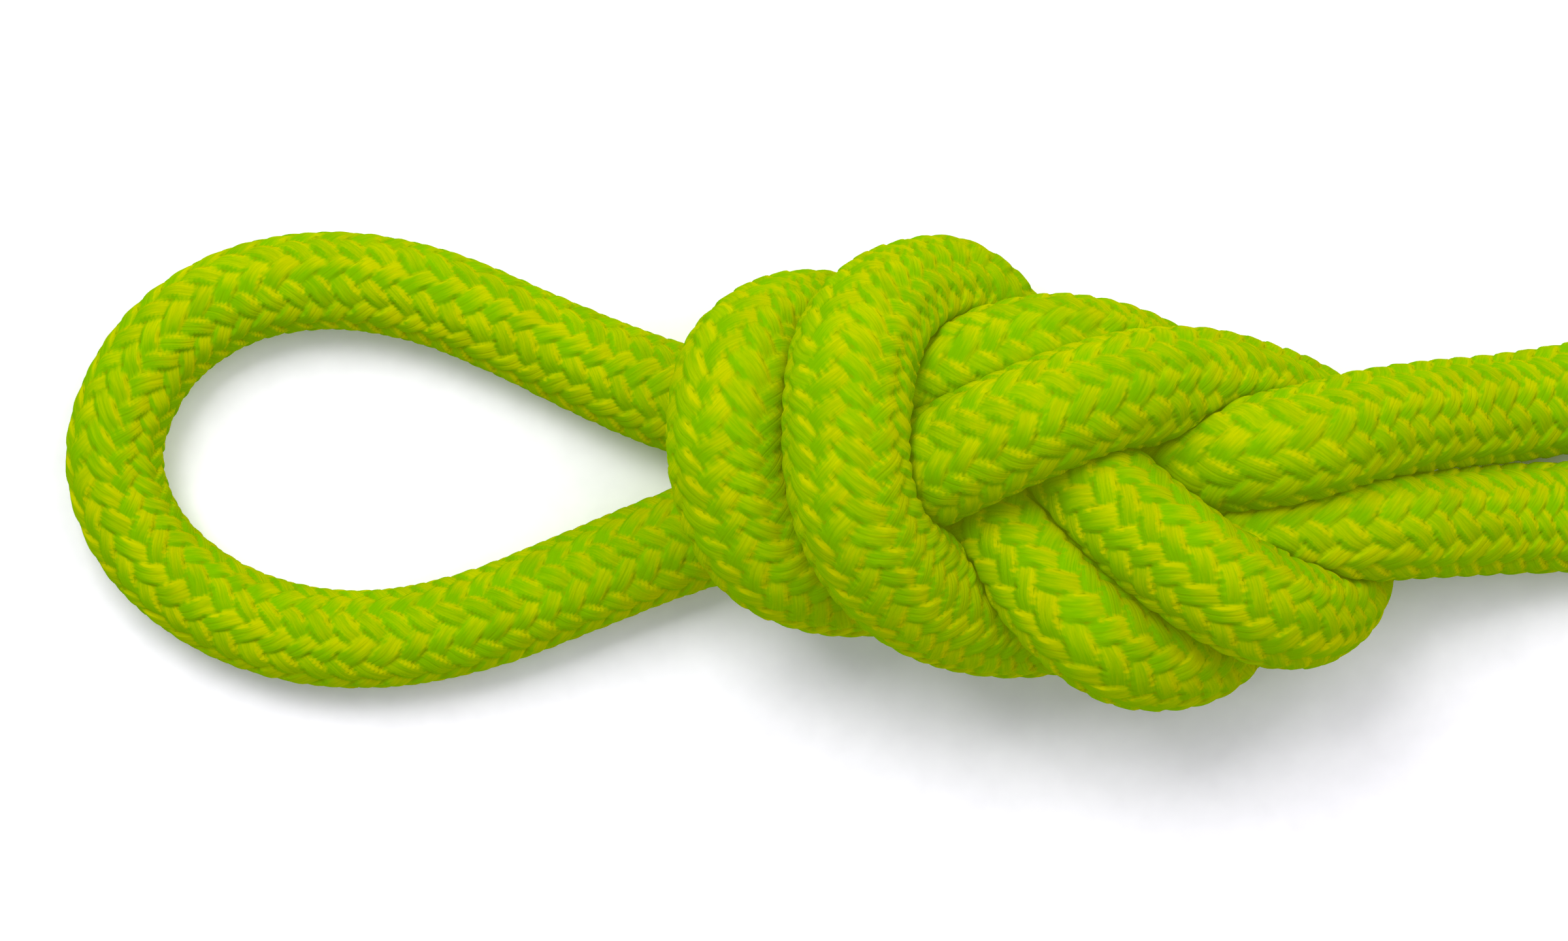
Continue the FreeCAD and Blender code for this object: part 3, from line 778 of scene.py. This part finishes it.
def pressed(line, gone, outward, free, whole, whole_gone, whole_free):
    """How far the surface stands out each way: its free radius, or half way to what presses on it."""
    reach = np.repeat(free[:, None], outward.shape[1], axis=1)
    falling = np.minimum(outward[..., 2], -ALMOST_LEVEL)
    reach = np.minimum(reach, line[:, None, 2] / -falling)
    widest = PRESS_REACH * free.max()
    for ring, centre in enumerate(line):
        away = whole - centre
        distance = np.linalg.norm(away, axis=1)
        near = (distance < widest) & (np.abs(whole_gone - gone[ring]) > NEAR_ALONG)
        if not near.any():
            continue
        toward = away[near] / distance[near, None]
        half = distance[near] * free[ring] / (free[ring] + whole_free[near])
        facing = np.maximum(outward[ring] @ toward.T, ALMOST_SIDEWAYS)
        reach[ring] = np.minimum(reach[ring], (half / facing).min(axis=1))
    return softened(reach, PRESS_PASSES)


def braid_height(u, v):
    """Height of the woven surface at a column and a pick, from 0 between the bundles to 1 on their crowns."""
    heights = []
    for lean, other, start in ((u - v, u + v, COMES_UP[0]), (u + v, u - v, COMES_UP[1])):
        bundle = np.floor(lean + 0.5)
        across = np.abs(lean - bundle)
        along = np.mod(other + bundle - start + REPEAT / 2, REPEAT) - REPEAT / 2
        arch = np.cos(along * 2 * math.pi / REPEAT)
        ribbon = np.sqrt(np.maximum(0.0, 1 - (2 * across) ** 6))
        yarn = np.sqrt(np.maximum(0.0, 1 - (4 * across - 1) ** 2))
        heights.append(ARCH_SHARE * arch + RIBBON_SHARE * ribbon + YARN_SHARE * yarn)
    return np.clip(np.maximum(*heights), 0, 1)


def wandering(u, v, columns):
    """The columns and picks, shifted a little as in a braid that has been bent and used."""
    turn = 2 * math.pi * u / columns
    shifts = [
        sum(far * np.sin(waves * turn + rate * v + start) for far, waves, rate, start in table)
        for table in (COLUMN_WAVES, PICK_WAVES)]
    return u + shifts[0], v + shifts[1]


def surface_normals(places):
    """Outward directions of a grid of places, rings by sides."""
    along = np.gradient(places, axis=0)
    around = np.roll(places, -1, 1) - np.roll(places, 1, 1)
    return unit(np.cross(along, around))


def sheath_surface(line, outward, reach, picks, settings):
    """The braid laid on the pressed rope, rings by sides.

    Gives places, directions out of them, how far each turns to the painted-light side, which the material
    paints as highlight and shade, columns and picks.
    """
    sides = reach.shape[1]
    column = np.arange(sides + 1) / sides * settings.columns
    u, v = wandering(column[None, :], picks[:, None], settings.columns)
    height = braid_height(u, v)[:, :sides]
    radius = reach - settings.relief * (1 - height)
    places = line[:, None] + outward * radius[..., None]
    places[..., 2] = np.maximum(places[..., 2], ABOVE_FLOOR)
    normals = surface_normals(places)
    # The turn to the painted-light side, for the painted highlight and shade
    smooth = surface_normals(line[:, None] + outward * reach[..., None])
    bright = np.array(PAINTED_LIGHT_SIDE)
    facing = smooth @ bright
    across = bright - smooth * facing[..., None]
    turned_to = (normals * across).sum(-1) / np.maximum(np.linalg.norm(across, axis=-1), LEAST_SIDEWAYS)
    tilt = turned_to + OWN_TURN_SHARE * facing
    return places, normals, tilt, u, v


def braided_tube(name, places, normals, tilt, u, v, material):
    """One length of the sheath: a grid of rings by sides, laid on the surface and closed along its seam."""
    rings, sides = places.shape[:2]
    bm = bmesh.new()
    bmesh.ops.create_grid(bm, x_segments=rings - 1, y_segments=sides, size=1.0)
    mesh = bpy.data.meshes.new(name)
    bm.to_mesh(mesh)
    bm.free()
    flat = np.empty(len(mesh.vertices) * 3, np.float32)
    mesh.vertices.foreach_get("co", flat)
    ring = np.rint((flat[0::3] + 1) / 2 * (rings - 1)).astype(np.int32)
    side = np.rint((flat[1::3] + 1) / 2 * sides).astype(np.int32)
    mesh.vertices.foreach_set("co", places[ring, side % sides].astype(np.float32).ravel())
    corner = np.empty(len(mesh.loops), np.int32)
    mesh.loops.foreach_get("vertex_index", corner)
    ring_at, side_at = ring[corner], side[corner]
    braid = mesh.uv_layers.new(name="braid")
    on_braid = np.stack([u[ring_at, side_at], v[ring_at, side_at]], axis=1)
    braid.uv.foreach_set("vector", on_braid.astype(np.float32).ravel())
    number = mesh.attributes.new("number", "INT", "POINT")
    number.data.foreach_set("value", ring * sides + side % sides)
    bm = bmesh.new()
    bm.from_mesh(mesh)
    bmesh.ops.remove_doubles(bm, verts=bm.verts, dist=MERGED)
    rims = [edge for edge in bm.edges if edge.is_boundary]
    bmesh.ops.holes_fill(bm, edges=rims, sides=0)
    for face in bm.faces:
        face.smooth = True
    bm.to_mesh(mesh)
    bm.free()
    numbers = np.empty(len(mesh.vertices), np.int32)
    mesh.attributes["number"].data.foreach_get("value", numbers)
    mesh.attributes.remove(mesh.attributes["number"])
    mesh.normals_split_custom_set_from_vertices(normals.reshape(-1, 3)[numbers])
    # The turn to the painted-light side, which the material paints as highlight and shade
    painted_light_tilts = mesh.attributes.new("tilt", "FLOAT", "POINT")
    painted_light_tilts.data.foreach_set("value", tilt.reshape(-1)[numbers].astype(np.float32))
    piece = bpy.data.objects.new(name, mesh)
    bpy.context.scene.collection.objects.link(piece)
    mesh.materials.append(material)
    return piece


def stop_at(points, count, total):
    """About how far along the line its first so many points reach."""
    runs = [0.0]
    for one, two in zip(points, points[1:]):
        runs.append(runs[-1] + (two - one).length)
    return runs[count - 1] / runs[-1] * total


class ROPE_OT_stage(bpy.types.Operator):
    """Sets the camera, the floor and the soft light."""

    bl_idname = "rope.stage"
    bl_label = "Set the stage"

    def execute(self, context):
        look = context.scene.rope_stage
        camera = bpy.data.objects.new("camera", bpy.data.cameras.new("camera"))
        context.scene.collection.objects.link(camera)
        camera.data.lens = look.lens
        camera.data.clip_start = look.nearest
        camera.location = (DRAWING_ORIGIN[0] * MM, DRAWING_ORIGIN[1] * MM, look.camera_height)
        context.scene.camera = camera

        bm = bmesh.new()
        bmesh.ops.create_grid(bm, x_segments=1, y_segments=1, size=look.floor_side / 2)
        mesh = bpy.data.meshes.new("floor")
        bm.to_mesh(mesh)
        bm.free()
        floor = bpy.data.objects.new("floor", mesh)
        context.scene.collection.objects.link(floor)
        # Matt white paper, whose pulp is mottled too faintly for the eye to find a pattern
        material, tree = blank_material("white_paper")
        mottle = 2.5 * MM
        place = add(tree, "ShaderNodeTexCoord")
        pulp = add(tree, "ShaderNodeTexNoise", {"Vector": place.outputs["Object"], "Scale": 1 / mottle})
        tones = {"Factor": pulp, "A": linear(look.floor_colour), "B": linear(look.floor_pale)}
        paper = add(tree, "ShaderNodeMix", tones, data_type="RGBA")
        shader = add(tree, "ShaderNodeBsdfPrincipled", {"Base Color": paper, "Roughness": 0.9})
        add(tree, "ShaderNodeOutputMaterial", {"Surface": shader})
        mesh.materials.append(material)

        aim = camera.location * Vector((1, 1, 0))
        for name, power, width, place in (
            ("key_light", look.key_power, look.key_width, look.key_place),
            ("side_light", look.side_power, look.side_width, look.side_place),
        ):
            data = bpy.data.lights.new(name, "AREA")
            data.energy = power
            data.size = width
            light = bpy.data.objects.new(name, data)
            context.scene.collection.objects.link(light)
            light.location = place
            light.rotation_mode = "QUATERNION"
            light.rotation_quaternion = (light.location - aim).to_track_quat("Z", "Y")

        world = bpy.data.worlds.new("sky")
        world.use_nodes = True
        background = world.node_tree.nodes["Background"]
        background.inputs["Color"].default_value = linear(look.sky_colour)
        background.inputs["Strength"].default_value = look.sky
        context.scene.world = world
        context.scene.view_settings.view_transform = "Standard"
        return {"FINISHED"}


def turned(outline):
    """A closed solid turned about X from the corners of its outline, each a place along and a radius."""
    bm = bmesh.new()
    corners = [bm.verts.new((along, 0, radius)) for along, radius in outline]
    edges = [bm.edges.new(pair) for pair in zip(corners, corners[1:] + corners[:1])]
    bmesh.ops.spin(
        bm, geom=corners + edges, cent=(0, 0, 0), axis=(1, 0, 0), angle=2 * math.pi, steps=TURNED_SIDES,
        use_merge=True)
    return bm


def rounded(bm, edges, radius):
    """Rounds these edges of the mesh."""
    bmesh.ops.bevel(
        bm, geom=edges, offset=radius, segments=BEVEL_SEGMENTS, profile=0.5, affect="EDGES", material=-1)


def finished(bm, name, material, nodes, place):
    """The mesh moved to its place, as a smooth piece that is fixed to the part in place of its CAD nodes."""
    bmesh.ops.recalc_face_normals(bm, faces=bm.faces)
    bmesh.ops.transform(bm, matrix=place, verts=bm.verts)
    for face in bm.faces:
        face.smooth = True
    mesh = bpy.data.meshes.new(name)
    bm.to_mesh(mesh)
    bm.free()
    mesh.materials.append(material)
    piece = bpy.data.objects.new(name, mesh)
    bpy.context.scene.collection.objects.link(piece)
    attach(piece, "root")
    if nodes:
        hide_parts(*nodes)


class ROPE_OT_ends(bpy.types.Operator):
    """Shapes the shrunk sleeves and the melted seals, and gives the core strands their yarn."""

    bl_idname = "rope.shape_ends"
    bl_label = "Shape the ends"

    def execute(self, context):
        look = context.scene.rope_ends
        weave = context.scene.rope_look
        even = (1, 1, 1)
        # Satin black with a faint orange peel, as a tube has that was shrunk on with hot air
        shrunk = noisy(
            "shrunk_polyolefin", look.sleeve_colour, look.sleeve_sheen, grain=1.1 * MM, stretch=even,
            rough=0.42, depth=0.03 * MM, ior=1.5)
        # Glassy and blotched from the blade's heat, green where it is clear and brown where it scorched
        melted = noisy(
            "melted_nylon", look.scorch, look.seal_colour, grain=2.2 * MM, stretch=even,
            rough=0.28, depth=0.08 * MM, ior=1.53)
        # Undyed and matt, in fine lines along the strand, coarser than real filaments so that they show
        yarn = noisy(
            "white_nylon_yarn", look.core_colour, look.core_pale, grain=0.33 * MM, stretch=(0.06, 1, 1),
            rough=0.55, depth=0.06 * MM, ior=1.53)
        for end, heading, turn in (("tail_end", 1, 0), ("hank_end", -1, math.pi)):
            low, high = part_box(f"{end}_sleeve")
            length = high.x - low.x
            face = Vector((high.x if heading > 0 else low.x, (low.y + high.y) / 2, (low.z + high.z) / 2))
            place = Matrix.Translation(face) @ Matrix.Rotation(turn, 4, "Z")
            inside = look.sleeve_inside
            outside = inside + look.sleeve_wall
            outline = [(-length * k / SLEEVE_RINGS, outside) for k in range(SLEEVE_RINGS + 1)]
            bm = turned(outline + [(-length, inside), (0, inside)])
            for corner in bm.verts:
                radius = math.hypot(corner.co.y, corner.co.z)
                column = math.atan2(corner.co.y, corner.co.z) / (2 * math.pi) * weave.columns
                inward = look.show_through * (1 - float(braid_height(column, corner.co.x / weave.pick)))
                if radius > inside + look.sleeve_wall / 2 and -length + PLAIN_RIM < corner.co.x < -PLAIN_RIM:
                    corner.co.yz = corner.co.yz * (1 - inward / radius)
            # Every edge of one radius whose two corners both lie at an end of the tube
            rims = [
                edge for edge in bm.edges
                if all(abs(abs(corner.co.x + length / 2) - length / 2) < SAME_PLACE for corner in edge.verts)
                and abs(edge.verts[0].co.yz.length - edge.verts[1].co.yz.length) < SAME_PLACE]
            rounded(bm, rims, look.rim)
            finished(bm, f"{end}_shrunk_sleeve", shrunk, [f"{end}_sleeve"], place)

            low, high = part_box(f"{end}_seal")
            thick = high.x - low.x
            angles = [k / DOME_RINGS * math.pi / 2 for k in range(DOME_RINGS)]
            dome = [(thick * math.sin(a), look.seal_radius * math.cos(a) ** DOME_FLATNESS) for a in angles]
            bm = turned([(-look.rim, 0.0), (-look.rim, look.seal_radius)] + dome + [(thick, 0.0)])
            bmesh.ops.remove_doubles(bm, verts=bm.verts, dist=MERGED)
            for corner in bm.verts:
                if corner.co.x > 0:
                    lump = noise.noise(corner.co / LUMP_SIZE + Vector((heading * LUMP_SHIFT, 0, 0)))
                    corner.co.x = max(0.0, min(thick, corner.co.x - look.drip * (0.5 + lump)))
            finished(bm, f"{end}_melted_seal", melted, [f"{end}_seal"], place)
            for strand in range(1, CORE_STRANDS + 1):
                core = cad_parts[f"{end}_core_strand_{strand}"]
                core.data.materials.clear()
                core.data.materials.append(yarn)
        return {"FINISHED"}


class ROPE_OT_tie(bpy.types.Operator):
    """Wraps the strap round the hank's waist, laps it over and stitches it."""

    bl_idname = "rope.wrap_tie"
    bl_label = "Wrap the tie"

    def execute(self, context):
        look = context.scene.rope_ends
        low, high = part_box("hank_tie")
        wall = look.strap_wall
        corner = look.strap_corner
        width = high.x - low.x
        top = high.z - wall
        reach = Vector(((high.y - low.y) / 2 - corner, (top - low.z) / 2 - corner))
        centre = Vector(((low.x + high.x) / 2, (low.y + high.y) / 2, (low.z + top) / 2))
        webbing = polyester_webbing(look)
        bm = bmesh.new()
        bmesh.ops.create_circle(bm, segments=TURNED_SIDES, radius=corner)
        for point in bm.verts:
            y, z = point.co.xy
            point.co = (-width / 2, y + math.copysign(reach.x, y), z + math.copysign(reach.y, z))
        band = bmesh.ops.extrude_edge_only(bm, edges=bm.edges)
        far_side = [made for made in band["geom"] if isinstance(made, bmesh.types.BMVert)]
        bmesh.ops.translate(bm, verts=far_side, vec=(width, 0, 0))
        bmesh.ops.recalc_face_normals(bm, faces=bm.faces)
        bmesh.ops.solidify(bm, geom=bm.faces, thickness=wall)
        edges = [
            edge for edge in bm.edges
            if abs(edge.verts[0].co.x - edge.verts[1].co.x) < MERGED
            and len(edge.link_faces) == 2 and edge.calc_face_angle() > SHARP]
        rounded(bm, edges, look.strap_edge)
        finished(bm, "strap", webbing, ["hank_tie"], Matrix.Translation(centre))

        bm = bmesh.new()
        bmesh.ops.create_cube(bm, size=1.0)
        bmesh.ops.scale(bm, verts=bm.verts, vec=(width, look.lap, wall))
        rounded(bm, bm.edges, look.strap_edge)
        on_top = Matrix.Translation((centre.x, centre.y, top + wall / 2))
        finished(bm, "strap_lap", webbing, [], on_top)

        # Pale and slightly shiny, with the twist drawn as short streaks
        thread = noisy(
            "polyester_thread", look.thread_colour, look.thread_pale, grain=0.4 * MM, stretch=(1, 0.3, 1),
            rough=0.6, depth=0.03 * MM, ior=1.57)
        bm = bmesh.new()
        size = (look.stitch_wide, look.stitch, look.stitch_high)
        seam = look.lap - 2 * look.seam_margin
        aside = width / 2 - look.stitch_inset
        for k in range(look.stitches):
            y = (k - (look.stitches - 1) / 2) * seam / (look.stitches - 1)
            for x in (-aside, aside):
                made = bmesh.ops.create_uvsphere(
                    bm, u_segments=STITCH_AROUND, v_segments=STITCH_RINGS, radius=0.5)
                bmesh.ops.scale(bm, verts=made["verts"], vec=size)
                bmesh.ops.translate(bm, verts=made["verts"], vec=(x, y, 0))
        finished(bm, "strap_stitches", thread, [], Matrix.Translation((centre.x, centre.y, high.z)))
        return {"FINISHED"}


def declare_cord(name, line):
    """Hides the CAD nodes that a length of rope stands for. Its line is not used, though the tail's is turned
    round to start at the knot.
    """
    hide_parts(*STANDS_FOR[name])
    if name == "tail":
        line = line[::-1]


class ROPE_OT_rope(bpy.types.Operator):
    """Lays the whole rope: tail, knot, loop, standing part and hank."""

    bl_idname = "rope.lay_rope"
    bl_label = "Lay the rope"

    def execute(self, context):
        look = context.scene.rope_look
        points = placed(
            TAIL_END + TAIL + snug(TAIL_SIDE) + LOOP + snug(STANDING_SIDE) + STANDING + hank_points())
        places, gone = rope_line(points)
        total = gone[-1]
        starts = [0.0]
        passed = 0
        tail = TAIL_END + TAIL + TAIL_SIDE[:POINTS_TO_KNOT]
        for stretch in (tail, TAIL_SIDE[POINTS_TO_KNOT:], LOOP, STANDING_SIDE, STANDING):
            passed += len(stretch)
            starts.append(stop_at(points, passed, total))
        free_end = starts[-1]
        starts.extend([(free_end + total) / 2, total])
        start_of = dict(zip([*STANDS_FOR, "end"], starts))
        changes = [
            (start_of[name] + offset * MM, getattr(look, radius), getattr(look, pick))
            for name, offset, radius, pick in CHANGES]
        change_at, change_radius, change_pick = np.array(changes).T

        material = braided_nylon(look)
        felt_at = np.arange(0, total, PRESS_STEP)
        felt = line_at(places, gone, felt_at)
        felt_radius = np.interp(felt_at, change_at, change_radius)
        lengths = list(zip(STANDS_FOR, starts, starts[1:]))
        shown = np.linspace(0, free_end, round(free_end / look.fine_ring) + 1)
        put_away = np.linspace(free_end, total, round((total - free_end) / look.coarse_ring) + 1)
        joined = np.concatenate([shown, put_away[1:]])
        rates = 1 / np.interp(joined, change_at, change_pick)
        picks = np.concatenate([[0], np.cumsum(np.diff(joined) * (rates[1:] + rates[:-1]) / 2)])
        sideways, upright = carried_frames(line_at(places, gone, joined))
        for along, sides, first_ring, own_lengths in (
            (shown, look.fine_sides, 0, lengths[:FINE_LENGTHS]),
            (put_away, look.coarse_sides, len(shown) - 1, lengths[FINE_LENGTHS:]),
        ):
            own = slice(first_ring, first_ring + len(along))
            angles = -2 * math.pi * np.arange(sides) / sides
            outward = (
                sideways[own, None] * np.cos(angles)[None, :, None]
                + upright[own, None] * np.sin(angles)[None, :, None])
            line = line_at(places, gone, along)
            free = np.interp(along, change_at, change_radius)
            reach = pressed(line, along, outward, free, felt, felt_at, felt_radius)
            surface = sheath_surface(line, outward, reach, picks[own], look)
            for name, start, stop in own_lengths:
                cut = slice(np.argmin(np.abs(along - start)), np.argmin(np.abs(along - stop)) + 1)
                piece = braided_tube(name, *(grid[cut] for grid in surface), material)
                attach(piece, "root")
                declare_cord(name, line[cut])
        return {"FINISHED"}


class ROPE_PT_panel(bpy.types.Panel):
    """Lists the steps that build the rope."""

    bl_label = "Climbing rope"
    bl_idname = "ROPE_PT_panel"
    bl_space_type = "VIEW_3D"
    bl_region_type = "UI"
    bl_category = "Rope"

    def draw(self, context):
        for operator in OPERATORS:
            self.layout.operator(operator.bl_idname)
        for settings in (context.scene.rope_look, context.scene.rope_ends, context.scene.rope_stage):
            for name in settings.bl_rna.properties.keys():
                if name not in ("rna_type", "name"):
                    self.layout.prop(settings, name)


OPERATORS = (ROPE_OT_stage, ROPE_OT_ends, ROPE_OT_rope, ROPE_OT_tie)
CLASSES = (RopeSettings, EndSettings, StageSettings) + OPERATORS + (ROPE_PT_panel,)


def register():
    for one in CLASSES:
        bpy.utils.register_class(one)
    bpy.types.Scene.rope_look = PointerProperty(type=RopeSettings)
    bpy.types.Scene.rope_ends = PointerProperty(type=EndSettings)
    bpy.types.Scene.rope_stage = PointerProperty(type=StageSettings)


def unregister():
    del bpy.types.Scene.rope_stage
    del bpy.types.Scene.rope_ends
    del bpy.types.Scene.rope_look
    for one in reversed(CLASSES):
        bpy.utils.unregister_class(one)


def main():
    """Builds every piece in order."""
    register()
    bpy.ops.rope.stage()
    bpy.ops.rope.shape_ends()
    bpy.ops.rope.lay_rope()
    bpy.ops.rope.wrap_tie()


if __name__ == "__main__":
    main()
